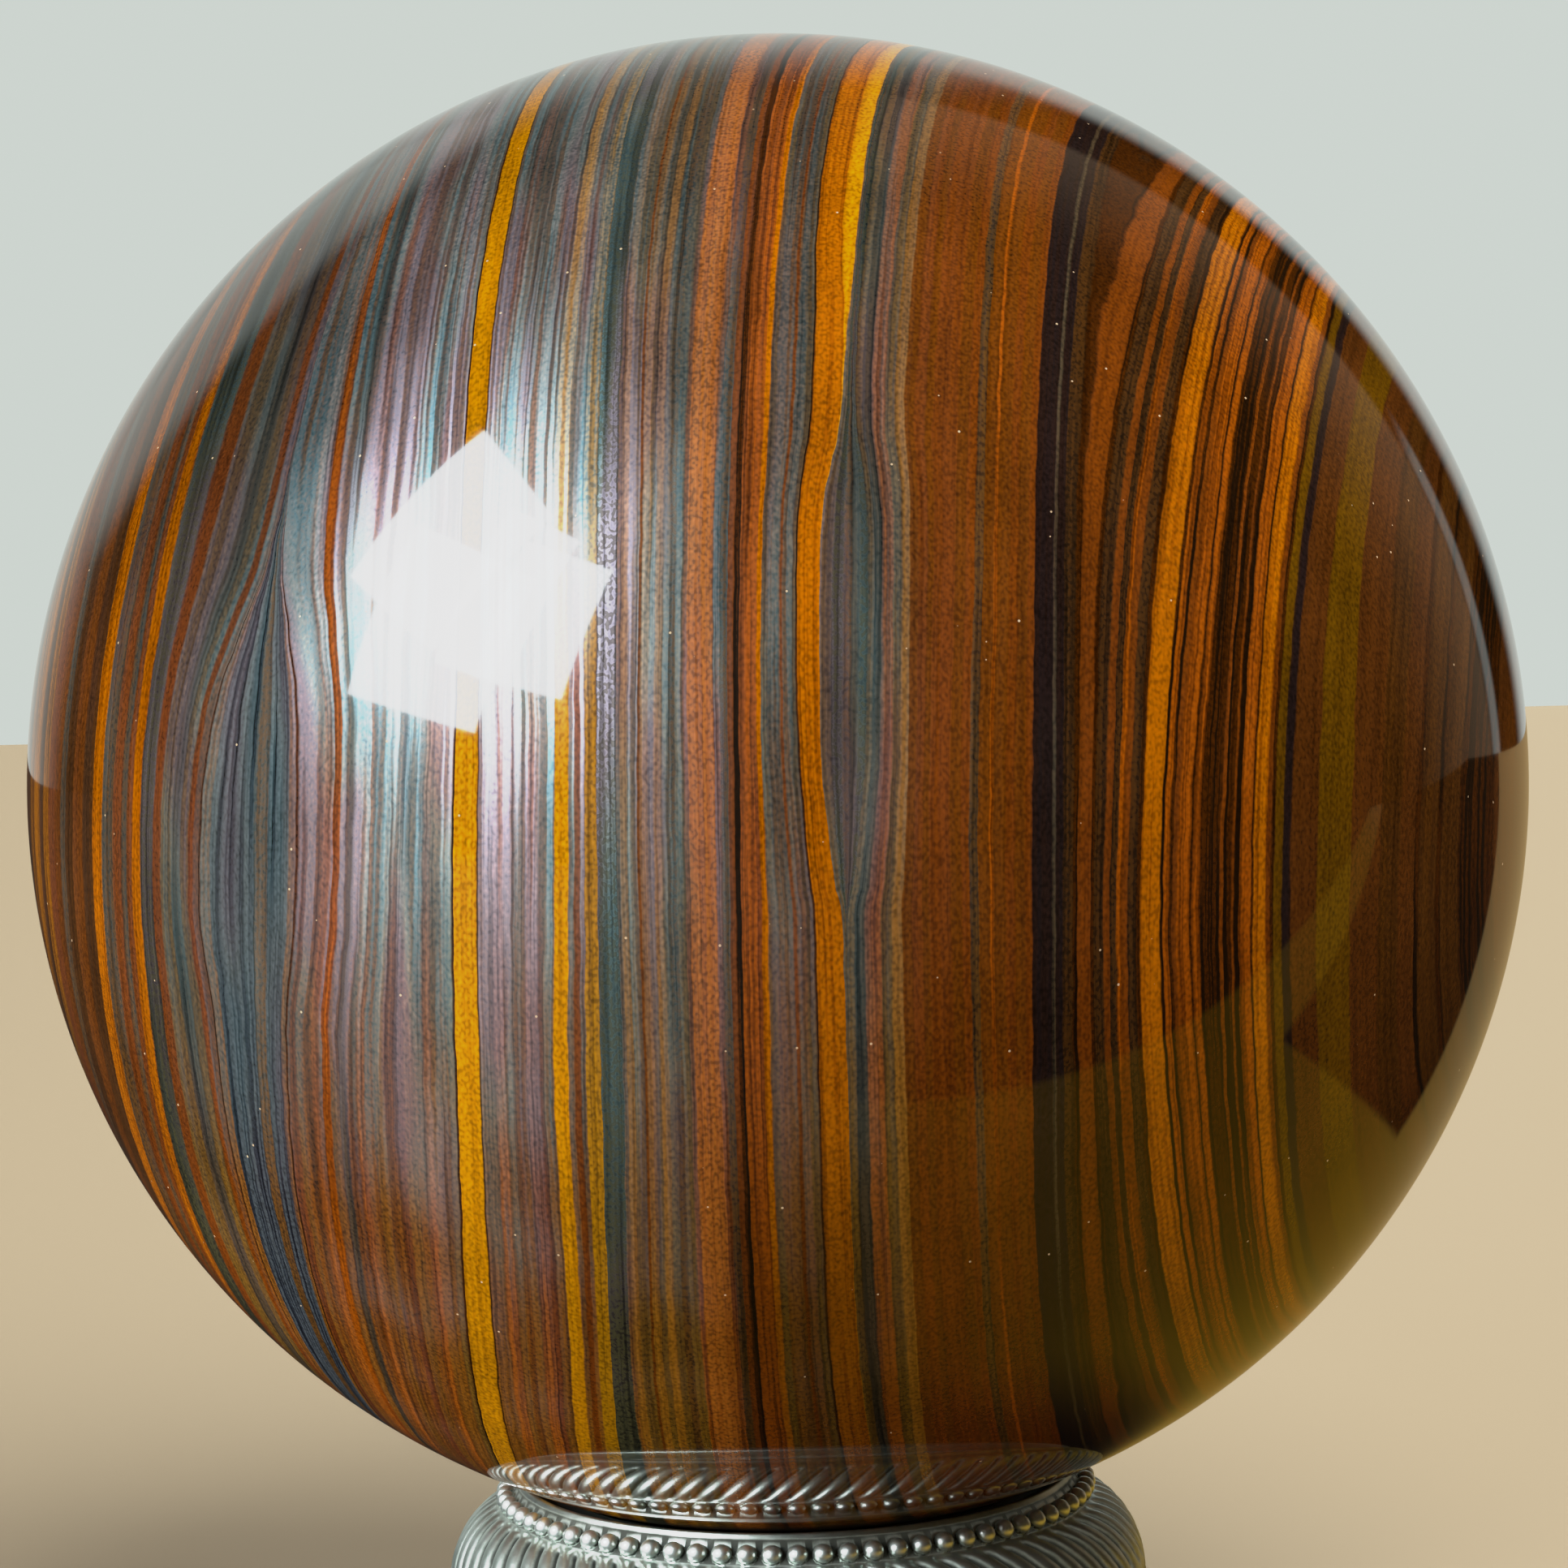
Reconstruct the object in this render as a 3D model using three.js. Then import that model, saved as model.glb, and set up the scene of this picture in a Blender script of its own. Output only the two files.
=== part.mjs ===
// A polished stone sphere that rests on a small cast metal ring.
// Millimetres, +Z up. The origin is the centre of the ring's underside, and -Y is the front.
import * as THREE from "three";

// Sphere
const SPHERE_RADIUS = 40;
const SPHERE_SIDES = 44; // around the vertical axis
const SPHERE_BANDS = 22; // from pole to pole

// Ring, from the inside out and down: the edge that the sphere rests on, a gutter, a narrow rim, a row of
// beads, a fluted shoulder, a plain half-round moulding, a cove and a flat foot. Each pair below is a radius
// and a height above the underside.
const SEAT = { radius: 12.8, height: 9.72 }; // the inner edge, where the sphere touches
const SEAT_GAP = 0.05; // free space between the sphere and that edge
const GUTTER = { radius: 14.5, height: 9.45 };
const RIM_INSIDE = { radius: 14.65, height: 10.18 };
const RIM_TOP = { radius: 14.95, height: 10.27 };
const RIM_FOOT = { radius: 15.1, height: 9.75 };
const BEAD = { radius: 15.72, height: 9.25 }; // the centre of each bead
const BEAD_SIZE = 0.56; // radius of one bead
const BEAD_LEAN = Math.PI / 4; // the beads face halfway between outwards and upwards
const BEAD_GROOVE = 0.86; // how far the grooves beside the beads lie from their centres, in bead radii
const SHOULDER = { radius: 15.4, height: 4.4 }; // the centre of the elliptical shoulder
const SHOULDER_WIDTH = 3.5;
const SHOULDER_RISE = 4.4;
const MOULDING = { radius: 18.45, height: 3.7 }; // the centre of the half-round moulding
const MOULDING_SIZE = 0.65;
const MOULDING_ARC = [0.25 * Math.PI, 0.9 * Math.PI]; // first and last angle, from the vertical, outwards
const COVE = { radius: 19.0, height: 2.0 }; // the centre of the hollow that the cove is cut by
const COVE_SIZE = 1.25;
const COVE_ARC = [1.75 * Math.PI, 1.2 * Math.PI];
const FOOT_RADIUS = 19.4;
const FOOT_HEIGHT = 1.0;
const FOOT_BEVEL = 0.2;
const HOLLOW_FOOT = { radius: 16.7, height: 0 }; // the hollow inside the ring, from the underside up
const HOLLOW_WAIST = { radius: 16.4, height: 5.2 };
const HOLLOW_NECK = { radius: 12.9, height: 8.7 };

// Flutes and beads
const FLUTES = 74; // one flute below each bead
const FLUTE_DEPTH = 0.34;
const FLUTE_STATIONS = 6; // cross-sections along the shoulder
const FLUTE_START = 0.16; // first and last flute angle on the shoulder, in radians from its top
const FLUTE_END = 1.5;
const FLUTE_TURN = 2; // how many pitches a flute winds sideways on its way down
const ARC_STATIONS = 3; // cross-sections along the moulding and along the cove

// A station is one ring of the lathed profile. Where relief is above 0, the crests stand that far out along
// the direction `lean` (from the vertical), and the grooves between them stay on the station itself.
function station({ radius, height }, relief = 0, lean = 0, turn = 0) {
  return { radius, height, relief, lean, turn };
}

// A plain station below the flutes, turned as far as the flutes have wound there.
function lowStation(place) {
  return station(place, 0, 0, FLUTE_TURN);
}

// Stations along an arc round a centre, from one angle to another, measured from the vertical, outwards.
function arc({ radius, height }, size, [from, to]) {
  return Array.from({ length: ARC_STATIONS }, (_, i) => {
    const angle = from + ((to - from) * i) / (ARC_STATIONS - 1);
    return lowStation({ radius: radius + size * Math.sin(angle), height: height + size * Math.cos(angle) });
  });
}

// The beads: a station in the groove above them, one over their tops and one in the groove below.
function beadStations() {
  const side = BEAD_SIZE * BEAD_GROOVE;
  const sideways = { radius: side * Math.cos(BEAD_LEAN), height: side * Math.sin(BEAD_LEAN) };
  return [
    station({ radius: BEAD.radius - sideways.radius, height: BEAD.height + sideways.height }),
    station(BEAD, BEAD_SIZE, BEAD_LEAN),
    station({ radius: BEAD.radius + sideways.radius, height: BEAD.height - sideways.height }),
  ];
}

// The flutes run down the elliptical shoulder. Their grooves are FLUTE_DEPTH inside the ellipse.
function fluteStations() {
  return Array.from({ length: FLUTE_STATIONS }, (_, i) => {
    const share = i / (FLUTE_STATIONS - 1);
    const angle = FLUTE_START + (FLUTE_END - FLUTE_START) * share;
    const lean = Math.atan2(Math.sin(angle) / SHOULDER_WIDTH, Math.cos(angle) / SHOULDER_RISE);
    const groove = {
      radius: SHOULDER.radius + SHOULDER_WIDTH * Math.sin(angle) - FLUTE_DEPTH * Math.sin(lean),
      height: SHOULDER.height + SHOULDER_RISE * Math.cos(angle) - FLUTE_DEPTH * Math.cos(lean),
    };
    return station(groove, FLUTE_DEPTH, lean, FLUTE_TURN * share);
  });
}

// The closed profile of the ring. It is listed from the seat down the outside and back up the inside, and
// returned the other way round, because a lathe's faces point out where its profile climbs on the outside.
function ringStations() {
  const outside = [
    ...[SEAT, GUTTER, RIM_INSIDE, RIM_TOP, RIM_FOOT].map((place) => station(place)),
    ...beadStations(),
    ...fluteStations(),
    ...arc(MOULDING, MOULDING_SIZE, MOULDING_ARC),
    ...arc(COVE, COVE_SIZE, COVE_ARC),
    lowStation({ radius: FOOT_RADIUS - FOOT_BEVEL, height: FOOT_HEIGHT }),
    lowStation({ radius: FOOT_RADIUS, height: FOOT_HEIGHT - FOOT_BEVEL }),
    lowStation({ radius: FOOT_RADIUS, height: 0 }),
  ];
  const inside = [lowStation(HOLLOW_FOOT), lowStation(HOLLOW_WAIST), station(HOLLOW_NECK), station(SEAT)];
  return [...outside, ...inside].reverse();
}

// Two lathe segments per flute, so that every other column of vertices is a crest. Each vertex of the plain
// lathe moves to its crest or groove, turned by its station's share of the flutes' winding.
function ringGeometry() {
  const stations = ringStations();
  const segments = 2 * FLUTES;
  const outline = stations.map((s) => new THREE.Vector2(s.radius, s.height));
  const geometry = new THREE.LatheGeometry(outline, segments);
  const position = geometry.getAttribute("position");
  for (let column = 0; column <= segments; column++) {
    stations.forEach((s, row) => {
      const relief = column % 2 === 0 ? s.relief : 0;
      const vertex = column * stations.length + row;
      const radius = s.radius + relief * Math.sin(s.lean);
      const height = s.height + relief * Math.cos(s.lean);
      const angle = (2 * Math.PI * ((column % segments) / 2 + s.turn)) / FLUTES;
      position.setXYZ(vertex, radius * Math.sin(angle), height, radius * Math.cos(angle));
    });
  }
  return geometry.rotateX(Math.PI / 2);
}

function makeRing() {
  const silver = new THREE.MeshStandardMaterial({ color: 0xb4b9ae, roughness: 0.3, metalness: 1 });
  const ring = new THREE.Mesh(ringGeometry(), silver);
  ring.name = "ring_stand";
  return ring;
}

function makeSphere() {
  const stone = new THREE.MeshStandardMaterial({ color: 0x7a4a22, roughness: 0.08, metalness: 0 });
  const geometry = new THREE.SphereGeometry(SPHERE_RADIUS, SPHERE_SIDES, SPHERE_BANDS).rotateX(Math.PI / 2);
  const sphere = new THREE.Mesh(geometry, stone);
  sphere.name = "stone_sphere";
  sphere.position.z = SEAT.height + Math.sqrt((SPHERE_RADIUS + SEAT_GAP) ** 2 - SEAT.radius ** 2);
  return sphere;
}

const part = new THREE.Group();
part.add(makeRing(), makeSphere());
export default part;
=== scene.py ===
"""A polished sphere of banded stone on a cast metal ring: its surfaces, studio and camera."""
import math
from collections import namedtuple

import bpy
from mathutils import Matrix, Vector


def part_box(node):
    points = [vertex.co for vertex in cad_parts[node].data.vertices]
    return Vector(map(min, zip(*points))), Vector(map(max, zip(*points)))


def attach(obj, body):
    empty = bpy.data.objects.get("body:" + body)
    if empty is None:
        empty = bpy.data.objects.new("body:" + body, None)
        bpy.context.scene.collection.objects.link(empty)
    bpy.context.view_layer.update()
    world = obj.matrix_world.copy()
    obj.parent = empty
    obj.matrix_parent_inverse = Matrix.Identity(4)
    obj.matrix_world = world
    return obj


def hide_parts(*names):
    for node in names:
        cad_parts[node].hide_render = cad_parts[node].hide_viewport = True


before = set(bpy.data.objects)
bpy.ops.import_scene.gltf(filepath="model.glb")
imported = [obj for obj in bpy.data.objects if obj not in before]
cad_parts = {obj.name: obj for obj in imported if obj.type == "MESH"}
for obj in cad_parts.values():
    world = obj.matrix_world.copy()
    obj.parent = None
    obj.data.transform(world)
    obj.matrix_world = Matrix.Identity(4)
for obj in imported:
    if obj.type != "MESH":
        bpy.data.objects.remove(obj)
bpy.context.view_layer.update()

MM = 0.001

# The two pieces' places, from the frame
SPHERE_LOW, SPHERE_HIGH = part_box("stone_sphere")
CENTRE = (Vector(SPHERE_LOW) + Vector(SPHERE_HIGH)) / 2
RADIUS = (SPHERE_HIGH[2] - SPHERE_LOW[2]) / 2
RADIUS_MM = RADIUS / MM


# ---------------------------------------------------------------- shader nodes

MIX_COLOURS = (6, 7)  # the colour sockets of a Mix node, which has others of the same names
MIX_RESULT = 2
SPECK_EDGE = (1.2, 0.8)  # where a speck's soft edge starts and ends, as shares of its size


class Field:
    """A number that a shader works out at each point. Arithmetic on it adds math nodes."""

    def __init__(self, graph, socket):
        self.graph = graph
        self.socket = socket

    def __add__(self, other):
        return self.graph.math("ADD", self, other)

    def __sub__(self, other):
        return self.graph.math("SUBTRACT", self, other)

    def __rsub__(self, other):
        return self.graph.math("SUBTRACT", other, self)

    def __mul__(self, other):
        return self.graph.math("MULTIPLY", self, other)

    def __truediv__(self, other):
        return self.graph.math("DIVIDE", self, other)

    __radd__ = __add__
    __rmul__ = __mul__

    def size(self):
        return self.graph.math("ABSOLUTE", self)

    def sign(self):
        return self.graph.math("SIGN", self)

    def at_least(self, other):
        return self.graph.math("MAXIMUM", self, other)

    def at_most(self, other):
        return self.graph.math("MINIMUM", self, other)

    def above(self, other):
        return self.graph.math("GREATER_THAN", self, other)

    def rise(self, start, end):
        """0 up to start and 1 from end on, or the other way round where start is the larger."""
        node = self.graph.add("ShaderNodeMapRange", interpolation_type="SMOOTHSTEP")
        for name, value in (("Value", self), ("From Min", start), ("From Max", end)):
            self.graph.feed(node.inputs[name], value)
        return Field(self.graph, node.outputs["Result"])

    def curve(self, *points):
        """A smooth curve through (input, output) points."""
        node = self.graph.add("ShaderNodeFloatCurve")
        inputs, outputs = zip(*points)
        low, span = min(outputs), max(outputs) - min(outputs)
        knots = node.mapping.curves[0].points
        for _ in points[2:]:
            knots.new(0.5, 0.5)
        for knot, (at, value) in zip(knots, sorted(points)):
            knot.location = ((at - inputs[0]) / (inputs[-1] - inputs[0]), (value - low) / span)
        node.mapping.update()
        ends = {"Value": self, "From Min": inputs[0], "From Max": inputs[-1]}
        self.graph.feed(node.inputs["Value"], self.graph.add("ShaderNodeMapRange", ends).outputs["Result"])
        return self.graph.math("MULTIPLY_ADD", Field(self.graph, node.outputs["Value"]), span, low)


class Graph:
    """The node tree of a new material or of the world."""

    def __init__(self, owner):
        owner.use_nodes = True
        self.tree = owner.node_tree

    def feed(self, socket, value):
        if isinstance(value, Field):
            value = value.socket
        if isinstance(value, bpy.types.NodeSocket):
            self.tree.links.new(value, socket)
        else:
            socket.default_value = value

    def add(self, kind, sockets=(), **settings):
        node = self.tree.nodes.new(kind)
        for name, value in settings.items():
            setattr(node, name, value)
        for name, value in dict(sockets).items():
            self.feed(node.inputs[name], value)
        return node

    def math(self, operation, *values):
        node = self.add("ShaderNodeMath", operation=operation)
        for socket, value in zip(node.inputs, values):
            self.feed(socket, value)
        return Field(self, node.outputs["Value"])

    def split(self, vector):
        node = self.add("ShaderNodeSeparateXYZ", {"Vector": vector})
        return [Field(self, socket) for socket in node.outputs]

    def channels(self, colour):
        node = self.add("ShaderNodeSeparateColor", {"Color": colour})
        return [Field(self, socket) for socket in node.outputs]

    def join(self, x, y, z):
        return self.add("ShaderNodeCombineXYZ", {"X": x, "Y": y, "Z": z}).outputs["Vector"]

    def noise(self, x, y, z, detail=2.0, roughness=0.5):
        """Noise from 0 to 1 whose features are about 1 across in the coordinates given."""
        sockets = {"Vector": self.join(x, y, z), "Scale": 1.0, "Detail": detail, "Roughness": roughness}
        return Field(self, self.add("ShaderNodeTexNoise", sockets).outputs["Fac"])

    def specks(self, x, y, z, size):
        """1 in small round specks, one in each cell about 1 across, and 0 between them."""
        node = self.add("ShaderNodeTexVoronoi", {"Vector": self.join(x, y, z), "Scale": 1.0})
        return Field(self, node.outputs["Distance"]).rise(size * SPECK_EDGE[0], size * SPECK_EDGE[1])

    def mix(self, share, first, second, blend="MIX"):
        node = self.add("ShaderNodeMix", data_type="RGBA", blend_type=blend)
        self.feed(node.inputs["Factor"], share)
        for socket, colour in zip(MIX_COLOURS, (first, second)):
            self.feed(node.inputs[socket], colour)
        return node.outputs[MIX_RESULT]

    def scale(self, colour, factor):
        """The colour, multiplied by a field."""
        return self.mix(1.0, colour, self.join(factor, factor, factor), blend="MULTIPLY")

    def ramp(self, value, stops):
        """A colour ramp through (place from 0 to 1, colour) stops."""
        node = self.add("ShaderNodeValToRGB", {"Fac": value})
        elements = node.color_ramp.elements
        for _ in stops[2:]:
            elements.new(0.5)
        for element, (place, colour) in zip(elements, stops):
            element.position = place
            element.color = colour
        return node.outputs["Color"]


def linear(red, green, blue, share=1.0):
    """A linear colour from the 0 to 255 values that a screen shows."""
    def channel(value):
        value /= 255
        return share * (value / 12.92 if value <= 0.04045 else ((value + 0.055) / 1.055) ** 2.4)
    return channel(red), channel(green), channel(blue), 1.0


def place_in_millimetres(graph, origin):
    """Object coordinates as three fields in millimetres from a point of the frame."""
    coordinates = graph.add("ShaderNodeTexCoord").outputs["Object"]
    moved = graph.add("ShaderNodeVectorMath", {0: coordinates, 1: origin}, operation="SUBTRACT")
    scaled = graph.add("ShaderNodeVectorMath", {0: moved.outputs[0], "Scale": 1 / MM}, operation="SCALE")
    return graph.split(scaled.outputs[0])


# ---------------------------------------------------------------- banded stone

# Each mineral: its body colour, the colour of the threads in it, how threaded it is, how silky its fibres are
# and how speckled it is (0 to 1)
Mineral = namedtuple("Mineral", "body threads threaded silky speckled")
MINERALS = {name: Mineral(*traits) for name, traits in {
    "gold": ((216, 149, 4), (186, 115, 2), 0.20, 0.00, 0.15),
    "amber": ((180, 103, 3), (146, 73, 2), 0.30, 0.00, 0.15),
    "bronze": ((150, 92, 3), (94, 54, 3), 0.45, 0.05, 0.15),
    "orange": ((158, 80, 3), (106, 50, 2), 0.40, 0.10, 0.15),
    "rust": ((122, 61, 4), (84, 40, 4), 0.16, 0.15, 0.15),
    "clay": ((166, 90, 8), (118, 58, 4), 0.40, 0.90, 0.15),
    "salmon": ((184, 108, 30), (156, 80, 18), 0.25, 0.30, 0.30),
    "beige": ((160, 106, 22), (116, 74, 12), 0.25, 0.60, 0.15),
    "sage": ((124, 88, 20), (90, 60, 14), 0.28, 0.90, 0.25),
    "brown": ((114, 61, 5), (88, 45, 4), 0.14, 0.10, 0.20),
    "umber": ((80, 46, 8), (54, 28, 6), 0.20, 0.10, 0.15),
    "olive": ((100, 68, 5), (78, 48, 6), 0.15, 0.00, 0.15),
    "chestnut": ((88, 48, 12), (62, 32, 10), 0.15, 0.05, 0.15),
    "mustard": ((176, 124, 4), (112, 74, 2), 0.30, 0.10, 0.30),
    "mauve": ((134, 76, 8), (92, 48, 8), 0.35, 1.00, 0.30),
    "plum": ((122, 61, 8), (84, 40, 8), 0.38, 0.95, 0.25),
    "mist": ((140, 86, 12), (96, 58, 8), 0.32, 1.00, 0.25),
    "teal": ((68, 66, 42), (42, 42, 28), 0.40, 0.85, 0.80),
    "navy": ((66, 74, 82), (34, 40, 52), 0.70, 0.40, 0.30),
    "slate": ((78, 62, 40), (46, 40, 30), 0.50, 0.85, 0.30),
    "dusk": ((100, 65, 20), (66, 45, 16), 0.35, 0.70, 0.50),
    "murk": ((72, 44, 14), (46, 28, 10), 0.40, 0.15, 0.50),
    "coal": ((30, 16, 4), (88, 44, 2), 0.35, 0.05, 0.25),
    "ink": ((34, 23, 22), (52, 30, 16), 0.20, 0.10, 0.25),
}.items()}
ALBEDO = 0.55  # the share of the listed colours that the stone itself sends back
SPECKLE = linear(20, 14, 8, share=ALBEDO)
DUST = linear(205, 180, 150)
DUST_APART = 1.8  # millimetres from one dust speck to the next
DUST_SIZE = 0.035  # a speck's radius, as a share of that
DUST_SHARE = 0.7
SPECKLE_SHARE = 0.7

# The colours of the silky fibres' sheen, by the noise called tint. The base colour takes them, so the sheen
# is partly mirrored through the metallic share and partly painted sheen in the scattered colour
TEAL_SHEEN = (0.070, 0.125, 0.145, 1.0)
SILVER_SHEEN = (0.125, 0.155, 0.160, 1.0)
VIOLET_SHEEN = (0.135, 0.118, 0.142, 1.0)
SHEEN_COLOURS = [(0.36, TEAL_SHEEN), (0.48, SILVER_SHEEN), (0.62, VIOLET_SHEEN)]
SILK_METAL = 0.65  # how much of a silky fibre's light is mirrored rather than scattered

# The layers, in order through the stone: where each starts, in millimetres, and what it is.
LAYERS = [
    (-50.0, "umber"), (-47.5, "bronze"), (-46.0, "rust"), (-44.4, "dusk"), (-43.0, "umber"),
    (-41.6, "bronze"), (-40.6, "coal"), (-39.8, "rust"), (-38.2, "brown"), (-37.2, "umber"),
    (-36.2, "bronze"), (-35.6, "coal"), (-35.4, "bronze"), (-34.2, "umber"), (-33.5, "bronze"),
    (-32.6, "rust"), (-31.6, "brown"), (-30.9, "dusk"), (-30.3, "umber"), (-29.5, "brown"),
    (-28.5, "umber"), (-27.5, "amber"), (-26.6, "dusk"), (-25.6, "rust"), (-24.9, "dusk"),
    (-24.5, "rust"), (-24.1, "amber"), (-23.45, "teal"), (-22.5, "rust"), (-21.9, "sage"),
    (-21.2, "slate"), (-20.6, "sage"), (-20.2, "rust"), (-19.95, "mauve"), (-19.7, "coal"),
    (-19.6, "mist"), (-19.2, "navy"), (-17.5, "dusk"), (-16.9, "navy"), (-16.0, "mist"),
    (-15.75, "coal"), (-15.62, "plum"), (-15.25, "mist"), (-15.05, "mauve"), (-14.65, "clay"),
    (-14.25, "orange"), (-13.95, "mist"), (-13.6, "slate"), (-13.3, "mauve"), (-12.9, "clay"),
    (-12.6, "mauve"), (-12.2, "mist"), (-11.8, "mauve"), (-11.3, "plum"), (-11.0, "mist"),
    (-10.6, "mauve"), (-10.3, "clay"), (-10.0, "mist"), (-9.35, "sage"), (-9.1, "coal"),
    (-9.0, "gold"), (-7.95, "coal"), (-7.87, "mist"), (-7.15, "clay"), (-6.6, "mist"), (-6.2, "mauve"),
    (-5.85, "mist"), (-5.45, "clay"), (-4.9, "plum"), (-4.6, "mist"), (-4.15, "gold"),
    (-3.5, "mist"), (-3.25, "rust"), (-2.95, "mist"), (-2.75, "mustard"), (-2.1, "teal"),
    (-1.05, "mist"), (-0.85, "beige"), (-0.5, "sage"), (0.05, "brown"), (0.2, "beige"),
    (0.6, "sage"), (0.9, "beige"), (1.3, "sage"), (1.65, "dusk"), (2.0, "sage"),
    (2.4, "clay"), (2.6, "salmon"), (3.9, "clay"), (4.2, "dusk"), (4.6, "rust"),
    (4.9, "coal"), (5.2, "orange"), (6.1, "amber"), (6.35, "sage"), (6.65, "mist"),
    (7.3, "rust"), (7.45, "mist"), (7.8, "sage"), (8.1, "coal"), (8.2, "amber"),
    (9.3, "gold"), (9.45, "sage"), (9.9, "teal"), (10.3, "dusk"), (10.6, "slate"), (10.9, "teal"),
    (11.2, "sage"), (11.5, "slate"), (11.9, "clay"), (12.5, "sage"), (12.9, "beige"),
    (13.3, "brown"), (13.7, "rust"), (14.1, "brown"), (14.4, "rust"), (14.55, "rust"),
    (15.4, "brown"), (15.9, "rust"), (16.3, "dusk"), (16.7, "brown"), (17.2, "orange"),
    (17.35, "brown"), (17.9, "rust"), (18.3, "brown"), (18.75, "rust"), (19.05, "ink"),
    (19.95, "slate"), (20.1, "ink"), (20.45, "murk"), (20.9, "coal"), (21.1, "rust"),
    (21.7, "coal"), (21.85, "murk"), (22.3, "rust"), (22.6, "murk"), (22.9, "orange"),
    (23.1, "rust"), (23.4, "murk"), (23.8, "coal"), (24.0, "amber"), (24.9, "coal"),
    (25.05, "orange"), (25.3, "coal"), (25.45, "rust"), (25.65, "orange"), (26.2, "coal"),
    (26.3, "orange"), (26.6, "coal"), (27.4, "rust"), (27.55, "coal"), (27.9, "rust"),
    (28.0, "coal"), (28.25, "orange"), (28.75, "coal"), (28.85, "amber"), (29.4, "rust"),
    (29.6, "coal"), (29.75, "olive"), (30.1, "ink"), (30.45, "chestnut"), (31.5, "olive"),
    (32.8, "chestnut"), (34.0, "umber"), (34.9, "chestnut"), (35.6, "coal"), (35.8, "umber"),
    (36.6, "coal"), (36.8, "umber"), (37.6, "coal"), (39.0, "chestnut"), (40.6, "umber"),
    (41.4, "brown"), (42.5, "umber"), (46.0, "umber"),
]
EDGE = 0.03  # half the width over which one layer turns into the next
RAMP_LAYERS = 15  # a colour ramp holds 32 stops, and a layer takes two
SLANT = 0.18  # how far the layers lean towards the back, in mm per mm
LAYER_NORMAL = Vector((1.0, -SLANT, 0.0)).normalized()

# Below, a curve is a row of (place, value) points. Depths are places in the list of layers and heights are
# measured from the sphere's centre, both in millimetres.
LEAN_BY_DEPTH = ((-44, 0.22), (-28, 0.18), (-20, 0.09), (-12, 0.02), (-8, 0.0), (26, 0.0), (44, -0.06))
BOW_BY_DEPTH = ((-44, 0.0), (-28, 0.0), (-20, -1.0), (-12, -2.6), (-8, -3.0), (4, -2.7), (13, -2.3),
                (20, -1.6), (24, 1.2), (44, 1.2))
TILT_BY_DEPTH = ((-44, 2.4), (-28, 2.4), (-20, 1.9), (-12, 1.4), (-8, 1.2), (4, 0.5), (20, 0.55),
                 (24, 1.2), (44, 1.2))
DRIFT = 0.6  # how far slow noise moves a layer
RIPPLE = 0.17  # how far fine noise moves it

# The noises that are drawn out along the layers: the width and length of their features in millimetres, and
# a shift, so that no two of them are alike
Streaks = namedtuple("Streaks", "width length shift detail roughness", defaults=(0.0, 0.0, 0.5))
DRIFTS = Streaks(4.5, 20.0)
RIPPLES = Streaks(1.0, 2.2, detail=1.0, roughness=0.65)
FIBRES = Streaks(1 / 3.2, 26.0, detail=1.0, roughness=0.75)
THREADS = Streaks(1 / 6, 22.0, shift=31.0, detail=1.0, roughness=0.7)
TINTS = Streaks(1.4, 14.0, shift=7.0)
CLOUD_WIDTH = 4.0
CLOUD_HEIGHT = 7.0
GRAIN_WIDTH = 1 / 6
GRAIN_HEIGHT = 1 / 4.5

# The lenses: where each lies in the list, its half width by height, the half width that the list gives it,
# and how far to both sides the layers make room for it. They are the dark eye at the left, the eye in the
# fork of the amber layer, and the gold wedge above that.
Lens = namedtuple("Lens", "centre half_by_height half_listed reach")
LENSES = [
    Lens(-17.6, ((-44, 1.3), (-20, 1.5), (-8, 1.6), (0, 2.1), (5, 2.0), (12, 1.1), (19, 0.1), (24, 0.02),
                 (44, 0.02)), 2.1, 6.0),
    Lens(10.35, ((-44, 0.02), (-2.5, 0.02), (0, 0.35), (4, 0.85), (9, 1.15), (15, 1.15), (20, 0.7),
                 (24, 0.25), (44, 0.15)), 0.85, 4.5),
    Lens(9.375, ((-44, 0.02), (23, 0.02), (30, 0.35), (35, 0.42), (44, 0.2)), 0.075, 2.5),
]

# The noise at which something starts and is full: a thread, the dark gap beside it, a speckle, a speckle
# in silk, and a fibre that catches the light
IN_THREAD = (0.56, 0.44)
IN_GAP = (0.40, 0.32)
IN_SPECKLE = (0.46, 0.34)
SILK_SPECKLE = (0.42, 0.58)
FIBRE_LIT = (0.38, 0.60)
THREAD_GAIN = 1.6
THREAD_CONTRAST = 1.4
THREAD_GAP = 0.8
# painted shade: how much darker silky fibres are where they don't catch the light
UNLIT_FIBRE_SHADE = 0.4
CLOUD_CONTRAST = 0.5
SPECKLE_IN_SILK = 0.75

# Where fibres are silky, and how brightly they then shine. By height their silkiness is painted sheen, fading
# low down, and by depth it is the layers' own; the shine is a painted glow round the window's highlight.
PAINTED_SHEEN_BY_HEIGHT = ((-42, 0.0), (-26, 0.06), (-16, 0.3), (-8, 0.6), (4, 0.9), (16, 1.0), (42, 1.0))
SILK_BY_DEPTH = ((-48, 0.5), (-26, 0.6), (-21, 0.9), (-14, 1.0), (0, 1.0), (8, 0.8), (13, 0.6), (17, 0.2),
                 (46, 0.1))
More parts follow.
